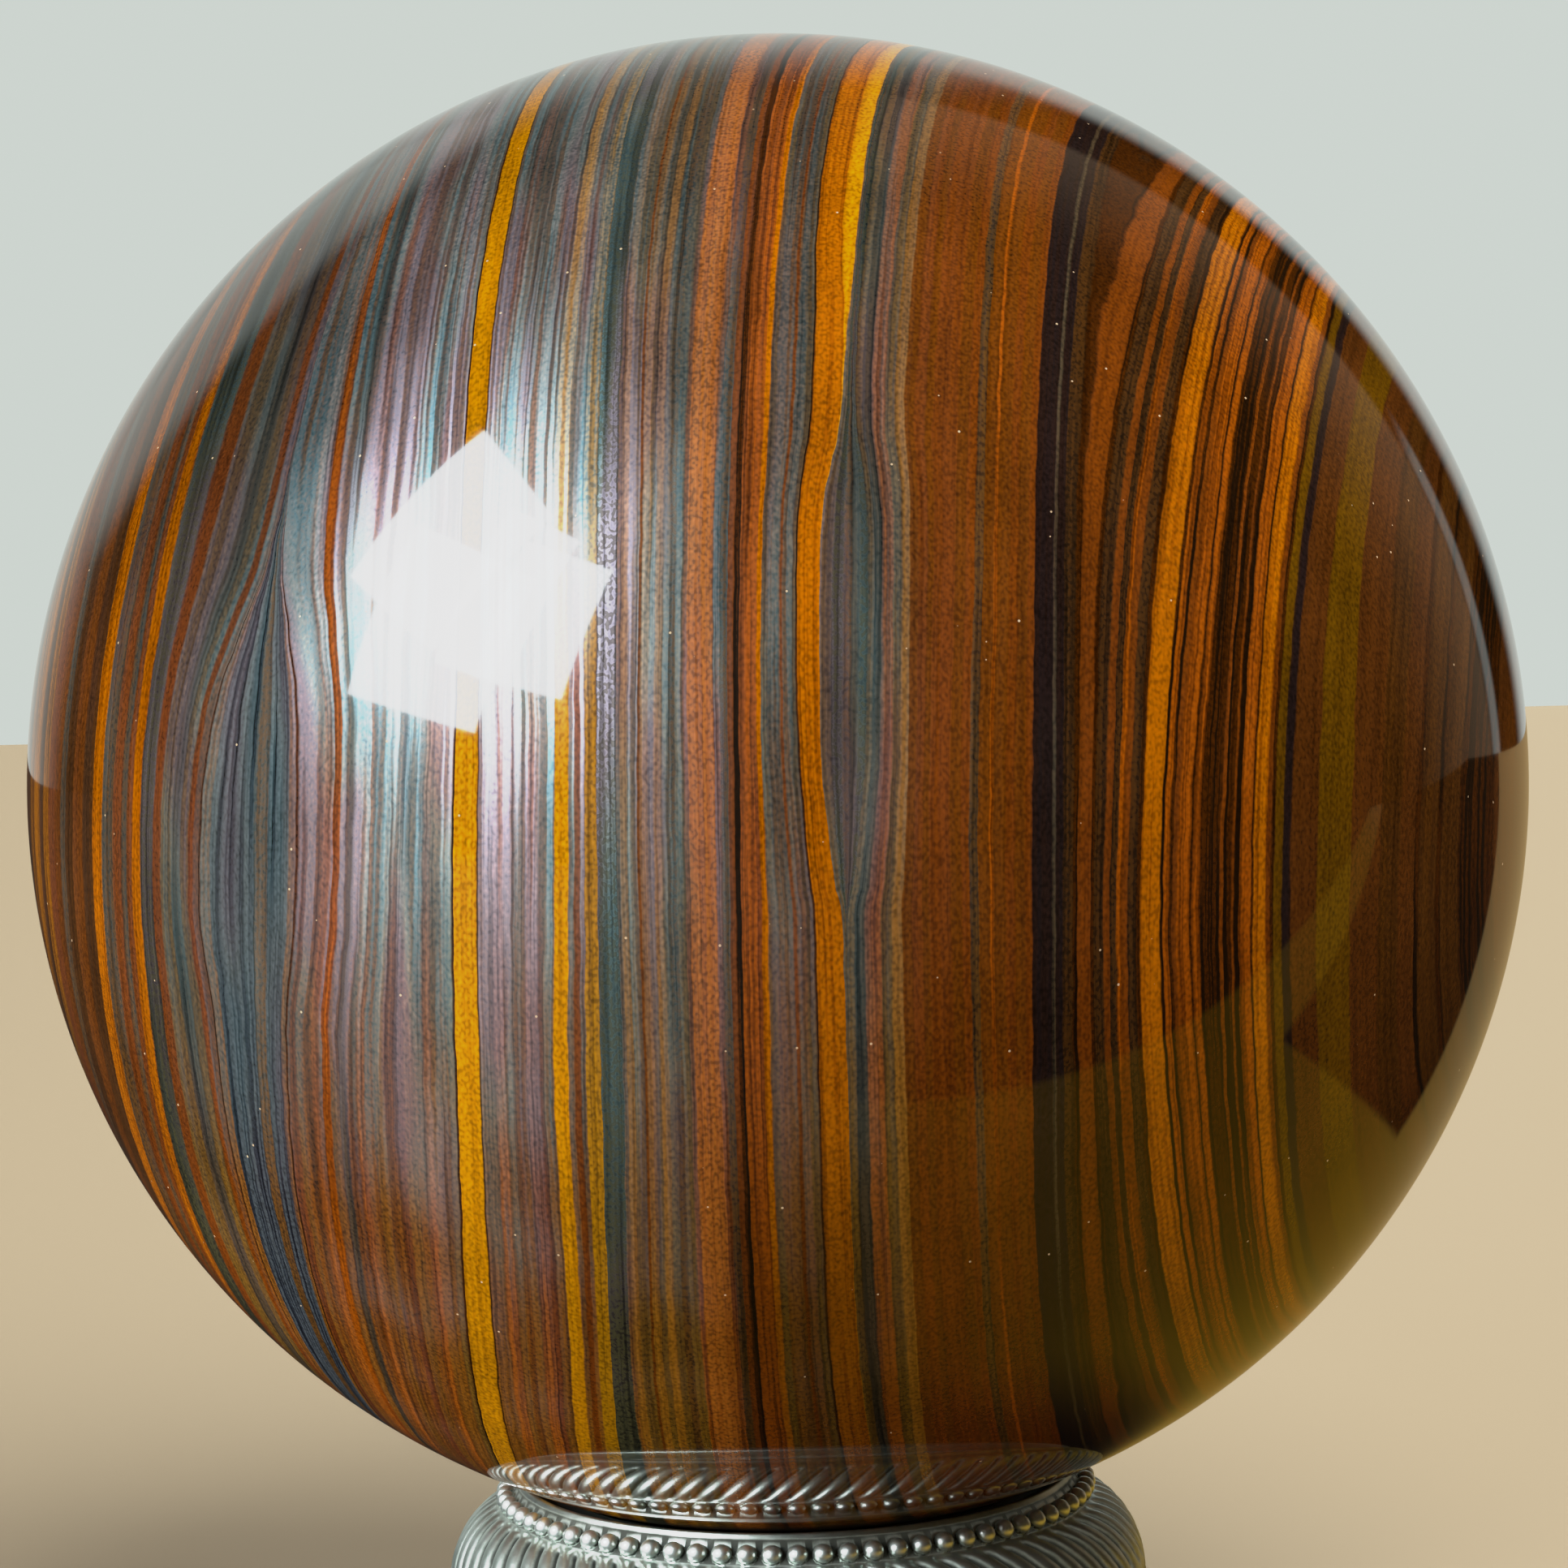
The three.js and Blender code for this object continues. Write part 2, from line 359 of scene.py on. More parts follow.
# painted highlight: the sheen colour brightens round the window's highlight, by depth and by height
PAINTED_GLOW_BY_DEPTH = ((-48, 0.9), (-20, 0.8), (-15.5, 0.8), (-12.5, 1.3), (-8, 1.4), (-1.5, 1.3), (2, 0.85),
                  (46, 0.6))
PAINTED_GLOW_BY_HEIGHT = ((-42, 0.85), (-10, 1.0), (5, 1.3), (16, 1.05), (28, 0.75), (42, 0.75))
SILK_PATCHES = (18.0, 10.0)  # how far clouds and tints move that height
# painted sheen: how silky all layers are made at the top, above the glow
PAINTED_SHEEN_VEIL = 0.75  # how silky all layers are in the veil above the glow
PAINTED_SHEEN_VEIL_HEIGHT = (4.0, 20.0)
PAINTED_SHEEN_VEIL_DEPTH = ((-7.9, -7.3), (0.0, -0.8))

# Darker places: how dark they are, and where they start and are full
TOP_SHADE = 0.3
TOP_HEIGHT = (6.0, 24.0)
TOP_DEPTH = (-2.0, -7.0)
SIDE_SHADE = 0.3
SIDE_HEIGHT = (-24.0, -14.0)
SIDE_DEPTH = ((-35.0, -32.0), (-18.0, -21.0))
# painted shade: the layers darken towards the foot of the ball
FOOT_PAINTED_SHADE_HEIGHT = (-4.0, -25.0)
FOOT_PAINTED_SHADE_BY_DEPTH = ((-48, 0.0), (-19, 0.0), (-14, 0.3), (-10, 0.3), (-4, 0.35), (1, 0.3), (5, 0.6),
                       (11, 0.6), (14, 0.2), (21, 0.15), (25, 0.0), (46, 0.0))


def layered(graph, depth, looks):
    """What each look gives for the mineral at a depth, as chains of colour ramps."""
    results = [None] * len(looks)
    for first in range(0, len(LAYERS) - 1, RAMP_LAYERS):
        chunk = LAYERS[first:first + RAMP_LAYERS + 1]
        low, high = chunk[0][0], chunk[-1][0]
        place = graph.add("ShaderNodeMapRange", {"Value": depth, "From Min": low, "From Max": high})
        reached = depth.above(low)
        for index, look in enumerate(looks):
            stops = []
            for (start, mineral), (end, _) in zip(chunk, chunk[1:]):
                for edge in (start + EDGE, end - EDGE):
                    stops.append(((edge - low) / (high - low), look(MINERALS[mineral])))
            colours = graph.ramp(place.outputs["Result"], stops)
            if first:
                colours = graph.mix(reached, results[index], colours)
            results[index] = colours
    return results


def pinch(depth, lens, half):
    """Squeezes the layers so that a lens whose half width changes with height keeps its place in the list."""
    offset = depth - lens.centre
    distance = offset.size()
    outside = distance.above(half)
    fade = (1.0 - (distance - half) / lens.reach).at_least(0.0).at_most(1.0)
    beside = distance - (half - lens.half_listed) * fade
    within = distance * lens.half_listed / half
    return lens.centre + offset.sign() * (outside * beside + (1.0 - outside) * within)


def streaked(graph, streaks, depth, y, z):
    """Noise from 0 to 1 that is drawn out along the layers."""
    return graph.noise(depth / streaks.width + streaks.shift, y / streaks.length, z / streaks.length,
                       streaks.detail, streaks.roughness)


def layer_depth(graph, x, y, z):
    """How far through the layers a point lies, in millimetres. The layers bend, pinch and ripple."""
    flat = x - SLANT * y
    height = z / RADIUS_MM
    lean, bow, tilt = [flat.curve(*points) for points in (LEAN_BY_DEPTH, BOW_BY_DEPTH, TILT_BY_DEPTH)]
    depth = flat - lean * y - bow * height * height - tilt * height
    drift = streaked(graph, DRIFTS, depth, y, z) - 0.5
    ripple = streaked(graph, RIPPLES, depth, y, z) - 0.5
    depth = depth + drift * DRIFT + ripple * RIPPLE
    for lens in LENSES:
        depth = pinch(depth, lens, z.curve(*lens.half_by_height))
    return depth


def silk_and_painted_sheen(silk, depth, z, cloud, tint):
    """How silky the fibres are: patchily less so low down and at the right, and more in a veil at the top.
    The fading low down and the veil are painted sheen.
    """
    patchy = z + (cloud - 0.5) * SILK_PATCHES[0] + (tint - 0.5) * SILK_PATCHES[1]
    veil = z.rise(*PAINTED_SHEEN_VEIL_HEIGHT) * depth.rise(*PAINTED_SHEEN_VEIL_DEPTH[0]) * depth.rise(*PAINTED_SHEEN_VEIL_DEPTH[1])
    return (silk * patchy.curve(*PAINTED_SHEEN_BY_HEIGHT) * depth.curve(*SILK_BY_DEPTH)).at_least(veil * PAINTED_SHEEN_VEIL)


def lightness(depth, z, silky):
    """How light the layers are along their length: 1, or less at the top left, the left side and the foot.
    The darkening at the foot is painted shade.
    """
    top = z.rise(*TOP_HEIGHT) * depth.rise(*TOP_DEPTH) * (1.0 - silky)
    side = z.rise(*SIDE_HEIGHT) * depth.rise(*SIDE_DEPTH[0]) * depth.rise(*SIDE_DEPTH[1])
    # painted shade, darker towards the foot
    foot = z.rise(*FOOT_PAINTED_SHADE_HEIGHT) * depth.curve(*FOOT_PAINTED_SHADE_BY_DEPTH)
    return (1.0 - TOP_SHADE * top) * (1.0 - SIDE_SHADE * side) * (1.0 - foot)


STONE_ROUGHNESS = 0.34
GRAIN_ROUGHNESS = 0.10
# The stone's own gloss is off, and a clear coat does the mirroring.
POLISH = {"Specular IOR Level": 0.0, "Anisotropic": 0.25, "Coat Weight": 1.0, "Coat Roughness": 0.045,
          "Coat IOR": 1.45}


def stone_material():
    """Fibrous stone in layers under a mirror polish."""
    material = bpy.data.materials.new("banded_stone")
    graph = Graph(material)
    x, y, z = place_in_millimetres(graph, CENTRE)
    depth = layer_depth(graph, x, y, z)

    body, threaded, traits = layered(graph, depth, [
        lambda mineral: linear(*mineral.body, share=ALBEDO),
        lambda mineral: linear(*mineral.threads, share=ALBEDO),
        lambda mineral: (mineral.threaded, mineral.silky, mineral.speckled, 1.0),
    ])
    threads, silk, speckle = graph.channels(traits)

    fibre, thread, tint = [streaked(graph, streaks, depth, y, z) for streaks in (FIBRES, THREADS, TINTS)]
    cloud = graph.noise(x / CLOUD_WIDTH, y / CLOUD_WIDTH, z / CLOUD_HEIGHT, detail=0.0)
    grain = graph.noise(x / GRAIN_WIDTH, y / GRAIN_WIDTH, z / GRAIN_HEIGHT, detail=0.0)

    colour = graph.mix((threads * THREAD_GAIN).at_most(1.0) * thread.rise(*IN_THREAD), body, threaded)
    colour = graph.mix(speckle * grain.rise(*IN_SPECKLE) * SPECKLE_SHARE, colour, SPECKLE)
    silk = silk_and_painted_sheen(silk, depth, z, cloud, tint)
    lit = fibre.rise(*FIBRE_LIT)
    silky = silk * (0.5 + 0.5 * lit) * (1.0 - SPECKLE_IN_SILK * speckle * grain.rise(*SILK_SPECKLE))
    # painted highlight: a glow round the window's highlight
    painted_glow = depth.curve(*PAINTED_GLOW_BY_DEPTH) * z.curve(*PAINTED_GLOW_BY_HEIGHT)
    # painted sheen: the sheen colour goes into the base colour, where the part that isn't metallic scatters
    # it as diffuse colour
    colour = graph.mix(silky, colour, graph.scale(graph.ramp(tint, SHEEN_COLOURS), painted_glow))
    shade = 1.0 + threads * (thread - 0.5) * THREAD_CONTRAST + (cloud - 0.5) * CLOUD_CONTRAST + (grain - 0.5)
    shade = shade * lightness(depth, z, silky)
    shade = shade * (1.0 - THREAD_GAP * threads * thread.rise(*IN_GAP))
    # painted shade: fibres that don't catch the light are darkened, most at the top, where the sheen is
    # painted strongest
    shade = shade * (1.0 - UNLIT_FIBRE_SHADE * silk * (1.0 - lit))
    colour = graph.scale(colour, shade)

    dust = graph.specks(x / DUST_APART, y / DUST_APART, z / DUST_APART, DUST_SIZE)
    colour = graph.mix(dust * DUST_SHARE, colour, DUST)
    silky = silky * (1.0 - dust)

    normal = graph.add("ShaderNodeNewGeometry").outputs["Normal"]
    along = graph.add("ShaderNodeVectorMath", {0: normal, 1: LAYER_NORMAL}, operation="CROSS_PRODUCT")

    shader = graph.tree.nodes["Principled BSDF"]
    graph.feed(shader.inputs["Base Color"], colour)
    graph.feed(shader.inputs["Metallic"], silky * SILK_METAL)
    graph.feed(shader.inputs["Roughness"], STONE_ROUGHNESS + GRAIN_ROUGHNESS * grain)
    graph.feed(shader.inputs["Tangent"], along.outputs[0])
    for name, value in POLISH.items():
        shader.inputs[name].default_value = value
    return material


SPHERE_CUTS = 96  # squares along each edge of the cube that the sphere is rounded from
SAME_POINT = 7  # the decimals to which two corners of squares have to agree to be one point


def make_sphere():
    """The polished ball, as a rounded cube, so that its faces are all about the same size."""
    points, faces, index = [], [], {}

    def point(direction):
        key = tuple(round(value, SAME_POINT) for value in direction)
        if key not in index:
            index[key] = len(points)
            points.append(CENTRE + direction.normalized() * RADIUS)
        return index[key]

    steps = [math.tan((2 * i / SPHERE_CUTS - 1) * math.pi / 4) for i in range(SPHERE_CUTS + 1)]
    for axis in range(3):
        for side in (-1, 1):
            def corner(a, b):
                values = [0.0, 0.0, 0.0]
                values[axis], values[(axis + 1) % 3], values[(axis + 2) % 3] = side, a, b
                return point(Vector(values))

            for low_a, high_a in zip(steps, steps[1:]):
                for low_b, high_b in zip(steps, steps[1:]):
                    square = [corner(low_a, low_b), corner(high_a, low_b), corner(high_a, high_b),
                              corner(low_a, high_b)]
                    faces.append(square if side > 0 else square[::-1])
    mesh = bpy.data.meshes.new("polished_sphere")
    mesh.from_pydata(points, [], faces)
    mesh.shade_smooth()
    sphere = bpy.data.objects.new("polished_sphere", mesh)
    bpy.context.collection.objects.link(sphere)
    mesh.materials.append(stone_material())
    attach(sphere, "root")
    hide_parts("stone_sphere")
    return sphere


# ---------------------------------------------------------------- ring stand

# The ring's profile in millimetres, as radius, height and the rounding of that corner
RING_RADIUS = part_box("ring_stand")[1][0] / MM
NECK = (12.9, 8.7, 0.5)
SEAT = (12.8, 9.72, 0.12)  # the edge that the sphere rests on
SEAT_OUTSIDE = (13.4, 9.6, 0.1)
GUTTER_START = (13.6, 9.55, 0.1)
GUTTER = (14.5, 9.45, 0.3)
GUTTER_END = (14.6, 9.95, 0.1)
RIM_START = (14.63, 10.05, 0.1)
RIM_INSIDE = (14.66, 10.2, 0.12)
RIM_OUTSIDE = (14.98, 10.26, 0.12)
RIM_END = (15.06, 10.05, 0.1)
CHANNEL_TOP = (15.12, 9.9, 0.12)
CHANNEL = (15.6, 9.13, 0.3)
CHANNEL_FOOT = (16.02, 8.82, 0.1)
COVE_FOOT = (18.4, 1.0, 0.1)
FOOT_TOP = (RING_RADIUS, 1.0, 0.2)
FOOT = (RING_RADIUS, 0.0, 0.15)
HOLLOW_FOOT = (16.7, 0.0, 0.2)
HOLLOW_WAIST = (16.4, 5.2, 1.0)

# Arcs of the profile: centre, half width, half height, first and last angle from the vertical, steps
Arc = namedtuple("Arc", "radius height width rise start end steps")
SHOULDER = Arc(15.4, 4.4, 3.5, 4.4, 0.2, 1.5, 36)
MOULDING = Arc(18.45, 3.7, 0.65, 0.65, 0.25 * math.pi, 0.95 * math.pi, 9)
COVE = Arc(19.0, 2.0, 1.25, 1.25, 1.75 * math.pi, 1.2 * math.pi, 7)

FLUTES = 74
FLUTE_DEPTH = 0.34
FLUTE_SHARPNESS = 2.4  # the larger, the narrower the groove and the flatter the rib beside it
FLUTE_TURN = 2  # how many pitches a flute winds sideways on its way down
FLUTE_FADE = (0.2, 0.34, 1.2, 1.4)  # angles on the shoulder between which the flutes fade in and out
FLUTE_COLUMNS = 10  # columns of faces to a flute
BEAD = (15.72, 9.25)  # the beads' centres, as radius and height
BEAD_RADIUS = 0.56
BEAD_LEAN = math.pi / 4  # the way that the beads' tops face, from the vertical
BEAD_WEAR = (-0.2, 0.7)  # how far up the bead the wear starts and is full, in bead radii
BEAD_SIDES = 18
BEAD_BANDS = 10

# One ring of the lathed profile. Grooves are cut `groove` deep along `lean` (from the vertical), `turn` is
# how many pitches the row is wound on, and `hollow` says how sheltered the surface is there, for the dirt
# and painted shade that gather in it. Below 0 it is worn bright.
Row = namedtuple("Row", "radius height groove lean turn hollow", defaults=(0.0, 0.0, 0.0, 0.0))
GUTTER_SHELTER = 1.2
CHANNEL_SHELTER = 0.7
COVE_SHELTER = 0.6


def smooth(value, start, end):
    """0 up to start and 1 from end on."""
    share = min(max((value - start) / (end - start), 0.0), 1.0)
    return share * share * (3 - 2 * share)


ROUNDING_STEPS = 3
ROUNDING_REACH = 0.45  # the largest share of an edge that the rounding of one of its ends takes up


def rounded(corners, turn=0.0, hollow=0.0):
    """Rows along straight lines between corners, whose inner corners are rounded."""
    rows = [Row(*corners[0][:2], turn=turn, hollow=hollow)]
    for before, corner, after in zip(corners, corners[1:], corners[2:]):
        place = Vector(corner[:2])
        arms = []
        for other in (before, after):
            arm = Vector(other[:2]) - place
            arms.append(place + arm.normalized() * min(corner[2], arm.length * ROUNDING_REACH))
        for step in range(ROUNDING_STEPS + 1):
            share = step / ROUNDING_STEPS
            point = arms[0].lerp(place, share).lerp(place.lerp(arms[1], share), share)
            rows.append(Row(*point, turn=turn, hollow=hollow))
    return rows + [Row(*corners[-1][:2], turn=turn, hollow=hollow)]


def arc_rows(arc, hollow=0.0):
    """Rows along an arc, wound on as far as the flutes' lower ends."""
    rows = []
    for step in range(arc.steps):
        angle = arc.start + (arc.end - arc.start) * step / (arc.steps - 1)
        rows.append(Row(arc.radius + arc.width * math.sin(angle), arc.height + arc.rise * math.cos(angle),
                        turn=FLUTE_TURN, hollow=hollow))
    return rows


def flute_rows():
    """The shoulder's rows, where the flutes fade in, wind sideways and fade out."""
    rows = []
    for step, row in enumerate(arc_rows(SHOULDER)):
        share = step / (SHOULDER.steps - 1)
        angle = SHOULDER.start + (SHOULDER.end - SHOULDER.start) * share
        lean = math.atan2(math.sin(angle) / SHOULDER.width, math.cos(angle) / SHOULDER.rise)
        fade = smooth(angle, *FLUTE_FADE[:2]) * (1 - smooth(angle, *FLUTE_FADE[2:]))
        rows.append(row._replace(groove=FLUTE_DEPTH * fade, lean=lean, turn=FLUTE_TURN * share))
    return rows


def ring_rows():
    """The closed profile, from the seat down the outside and back up the inside."""
    return [
        *rounded([NECK, SEAT, SEAT_OUTSIDE], hollow=GUTTER_SHELTER),
        *rounded([GUTTER_START, GUTTER, GUTTER_END], hollow=GUTTER_SHELTER),
        *rounded([RIM_START, RIM_INSIDE, RIM_OUTSIDE, RIM_END]),
        *rounded([CHANNEL_TOP, CHANNEL, CHANNEL_FOOT], hollow=CHANNEL_SHELTER),
        *flute_rows(),
        *arc_rows(MOULDING),
        *arc_rows(COVE, hollow=COVE_SHELTER),
        *rounded([COVE_FOOT, FOOT_TOP, FOOT, HOLLOW_FOOT, HOLLOW_WAIST], turn=FLUTE_TURN),
    ]


def ring_point(radius, height, pitches):
    """A point at a place on the profile, so many flute pitches round from the front."""
    angle = 2 * math.pi * pitches / FLUTES
    return Vector((radius * math.sin(angle), -radius * math.cos(angle), height)) * MM


def mesh_object(name, points, faces, hollows):
    """A mesh that carries each point's shelter as its attribute "hollow"."""
    mesh = bpy.data.meshes.new(name)
    mesh.from_pydata(points, [], faces)
    mesh.attributes.new("hollow", "FLOAT", "POINT").data.foreach_set("value", hollows)
    made = bpy.data.objects.new(name, mesh)
    bpy.context.collection.objects.link(made)
    return made


def make_ring_body():
    """The profile, lathed round with the flutes cut into its shoulder."""
    rows = ring_rows()
    columns = FLUTE_COLUMNS * FLUTES
    points, hollows = [], []
    for row in rows:
        for column in range(columns):
            share = column / FLUTE_COLUMNS
            cut = abs(2 * (share - round(share))) ** FLUTE_SHARPNESS
            depth = row.groove * cut
            points.append(ring_point(row.radius - depth * math.sin(row.lean),
                                     row.height - depth * math.cos(row.lean), share + row.turn))
            hollows.append(max(row.hollow, depth / FLUTE_DEPTH))
    faces = []
    for row in range(len(rows)):
        here, there = row * columns, (row + 1) % len(rows) * columns
        for column in range(columns):
            beside = (column + 1) % columns
            faces.append((here + column, there + column, there + beside, here + beside))
    return mesh_object("fluted_ring", points, faces, hollows)


def make_beads():
    """A row of round beads in the channel, each a ball of flat bands between two poles."""
    points, faces, hollows = [], [], []
    for bead in range(FLUTES):
        start = len(points)
        centre = ring_point(*BEAD, bead)
        outwards = ring_point(math.sin(BEAD_LEAN), math.cos(BEAD_LEAN), bead) / MM
        for band in range(BEAD_BANDS + 1):
            polar = math.pi * band / BEAD_BANDS
            for side in range(BEAD_SIDES if 0 < band < BEAD_BANDS else 1):
                turn = 2 * math.pi * side / BEAD_SIDES
                offset = Vector((math.sin(polar) * math.cos(turn), math.sin(polar) * math.sin(turn),
                                 math.cos(polar)))
                points.append(centre + offset * BEAD_RADIUS * MM)
                hollows.append(1 - 2 * smooth(offset.dot(outwards), *BEAD_WEAR))
        last = len(points) - 1
        for side in range(BEAD_SIDES):
            beside = (side + 1) % BEAD_SIDES
            faces.append((start, start + 1 + side, start + 1 + beside))
            faces.append((last, last - BEAD_SIDES + beside, last - BEAD_SIDES + side))
            for band in range(BEAD_BANDS - 2):
                above = start + 1 + band * BEAD_SIDES
                below = above + BEAD_SIDES
                faces.append((above + side, below + side, below + beside, above + beside))
    return mesh_object("beads", points, faces, hollows)


CLEAN_METAL = (0.50, 0.55, 0.50, 1.0)
DULL_METAL = (0.38, 0.43, 0.38, 1.0)
WORN_METAL = (0.80, 0.86, 0.80, 1.0)
# Dirt and painted shade: the near-black that gathers in sheltered places
DIRT_AND_SHADE = (0.022, 0.025, 0.018, 1.0)
DIRT_AND_SHADE_SHARE = 0.94
DIRT_AND_SHADE_HOLLOW = (0.12, 0.75)  # how sheltered a place is where dirt and painted shade start, and where they are full
DIRT_PATCHES = 0.5  # how much wear moves that
DULL_WEAR = (0.35, 0.7)  # the wear at which metal starts to be dull, and is
METALNESS = 0.98
METAL_ROUGHNESS = 0.32
DIRT_METALNESS = -0.5  # how much dirt changes the metalness
DIRT_ROUGHNESS = 0.4
METAL_GRAIN_ROUGHNESS = 0.12
METAL_BUMP = {"Strength": 0.12, "Distance": 0.1 * MM}
WEAR_SIZE = 1.3  # millimetres
METAL_GRAIN = 0.25  # millimetres
SHARP_EDGE = math.radians(38)  # edges sharper than this aren't shaded smoothly


def metal_material():
    """Cast metal with a worn silver finish, with grime and painted shade in its hollows."""
    material = bpy.data.materials.new("silver_metal")
    graph = Graph(material)
    x, y, z = place_in_millimetres(graph, (0.0, 0.0, 0.0))
    hollow = Field(graph, graph.add("ShaderNodeAttribute", attribute_name="hollow").outputs["Fac"])
    wear = graph.noise(x / WEAR_SIZE, y / WEAR_SIZE, z / WEAR_SIZE, detail=4.0, roughness=0.6)
    grain = graph.noise(x / METAL_GRAIN, y / METAL_GRAIN, z / METAL_GRAIN)
    dirt_and_shade = (hollow + (wear - 0.5) * DIRT_PATCHES).rise(*DIRT_AND_SHADE_HOLLOW)
    silver = graph.mix(wear.rise(*DULL_WEAR), CLEAN_METAL, DULL_METAL)
    silver = graph.mix(hollow.rise(0.0, -1.0), silver, WORN_METAL)
    # dirt and painted shade darken the sheltered places
    colour = graph.mix(dirt_and_shade * DIRT_AND_SHADE_SHARE, silver, DIRT_AND_SHADE)
    bump = graph.add("ShaderNodeBump", {"Height": grain + wear, **METAL_BUMP})
    shader = graph.tree.nodes["Principled BSDF"]
    graph.feed(shader.inputs["Base Color"], colour)
    graph.feed(shader.inputs["Metallic"], METALNESS + dirt_and_shade * DIRT_METALNESS)
    roughness = METAL_ROUGHNESS + dirt_and_shade * DIRT_ROUGHNESS + grain * METAL_GRAIN_ROUGHNESS
    graph.feed(shader.inputs["Roughness"], roughness)
    graph.feed(shader.inputs["Normal"], bump.outputs[0])
    return material


def make_ring():
    """The fluted ring, with its beads cast on."""
    ring, beads = make_ring_body(), make_beads()
    union = ring.modifiers.new("beads", "BOOLEAN")
    union.operation = "UNION"
    union.solver = "MANIFOLD"
    union.object = beads
    joined = ring.evaluated_get(bpy.context.evaluated_depsgraph_get())
    mesh = bpy.data.meshes.new_from_object(joined)
    ring.modifiers.clear()
    ring.data = mesh
    bpy.data.objects.remove(beads)
    mesh.shade_smooth()
    mesh.set_sharp_from_angle(angle=SHARP_EDGE)
    mesh.materials.clear()
    mesh.materials.append(metal_material())
    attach(ring, "root")
    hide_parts("ring_stand")
    return ring


# ---------------------------------------------------------------- studio and camera

VIEW_ELEVATION = math.radians(7.4)
VIEW_ROLL = math.radians(-1.45)
VIEW_DISTANCE = 9.0  # in sphere radii
OUTLINE_SHARE = 0.958  # how much of the half frame the sphere's outline fills
VIEW_SHIFT = 0.0039  # how far the picture is shifted sideways, in picture widths
SENSOR = 36.0  # millimetres


def make_camera():
    """The photo's viewing angle: a little above the sphere's centre, and rolled a little."""
    data = bpy.data.cameras.new("camera")
    data.sensor_width = SENSOR
    data.lens = SENSOR / 2 * OUTLINE_SHARE * math.sqrt(VIEW_DISTANCE ** 2 - 1)
    data.shift_x = VIEW_SHIFT
    camera = bpy.data.objects.new("camera", data)
    back = Vector((0.0, -math.cos(VIEW_ELEVATION), math.sin(VIEW_ELEVATION)))
    camera.location = CENTRE + back * VIEW_DISTANCE * RADIUS
    facing = (-back).to_track_quat("-Z", "Y").to_matrix().to_4x4()
    camera.matrix_world = Matrix.Translation(camera.location) @ facing @ Matrix.Rotation(VIEW_ROLL, 4, "Z")
    bpy.context.collection.objects.link(camera)
    bpy.context.scene.camera = camera


# The floor's edges, in metres
FLOOR_BACK = 0.42
FLOOR_FRONT = -0.6
FLOOR_SIDE = 0.6
FLOOR_COLOUR = linear(182, 170, 146, share=0.62)
# In the polish, the floor ends along a line in front of the sphere, and a dark corner stands to the right of
# it. Each line is given by a point in millimetres and the direction across it, towards the floor.
MIRRORED_FRONT = ((0.0, -84.0), (-0.24, 0.97))
CORNER_TIP = (95.0, -31.0)
DARK_CORNER = [(CORNER_TIP, (-0.933, -0.358)), ((72.0, 29.0), (-0.782, 0.625)), (CORNER_TIP, (0.24, -0.97))]
LINE_BLUR = 1.5
MIRRORED_TABLE = (0.19, 0.120, 0.006, 1.0)
MIRRORED_BACK = (0.18, 0.128, 0.050, 1.0)
MIRRORED_DARK = (0.004, 0.003, 0.002, 1.0)
TABLE_SIDE = (-20.0, 40.0)  # from the dark left to the table's full colour, in millimetres
TABLE_BACK = (0.0, 90.0)  # from the table's colour in front to that at the back
RING_SHADE = (20.0, 34.0)  # how far from the ring's axis its shade is full, and ends
FLOOR_ROUGHNESS = 0.8
FLOOR_GLOSS = 0.1


def beyond(x, y, line):
    """1 on the floor's side of a line and 0 on the other side."""
    (at_x, at_y), (across_x, across_y) = line
    return ((x - at_x) * across_x + (y - at_y) * across_y).rise(-LINE_BLUR, LINE_BLUR)


def make_floor():
    """A plain pale floor. The stone mirrors it as a warmer table top with an edge, lit from the right. The
    table, its light and its shade are painted reflection, in the colour that all rays but the camera's see.
    """
    corners = [(-FLOOR_SIDE, FLOOR_FRONT, 0), (FLOOR_SIDE, FLOOR_FRONT, 0), (FLOOR_SIDE, FLOOR_BACK, 0),
               (-FLOOR_SIDE, FLOOR_BACK, 0)]
    mesh = bpy.data.meshes.new("floor")
    mesh.from_pydata(corners, [], [(0, 1, 2, 3)])
    floor = bpy.data.objects.new("floor", mesh)
    bpy.context.collection.objects.link(floor)
    material = bpy.data.materials.new("pale_floor")
    graph = Graph(material)
    x, y, _ = place_in_millimetres(graph, (0.0, 0.0, 0.0))
    shaded, clear = [radius ** 2 for radius in RING_SHADE]
    table = beyond(x, y, MIRRORED_FRONT) * x.rise(*TABLE_SIDE) * (x * x + y * y).rise(shaded, clear)
    sides = [beyond(x, y, line) for line in DARK_CORNER]
    table = table * sides[0].at_least(sides[1]).at_least(sides[2])
    lit = graph.mix(y.rise(*TABLE_BACK), MIRRORED_TABLE, MIRRORED_BACK)
    mirrored = graph.mix(table, MIRRORED_DARK, lit)
    rays = graph.add("ShaderNodeLightPath")
    # painted reflection: rays other than the camera's see the painted table
    colour = graph.mix(rays.outputs["Is Camera Ray"], mirrored, FLOOR_COLOUR)
    shader = graph.tree.nodes["Principled BSDF"]
    graph.feed(shader.inputs["Base Color"], colour)
    shader.inputs["Roughness"].default_value = FLOOR_ROUGHNESS
    shader.inputs["Specular IOR Level"].default_value = FLOOR_GLOSS
    mesh.materials.append(material)


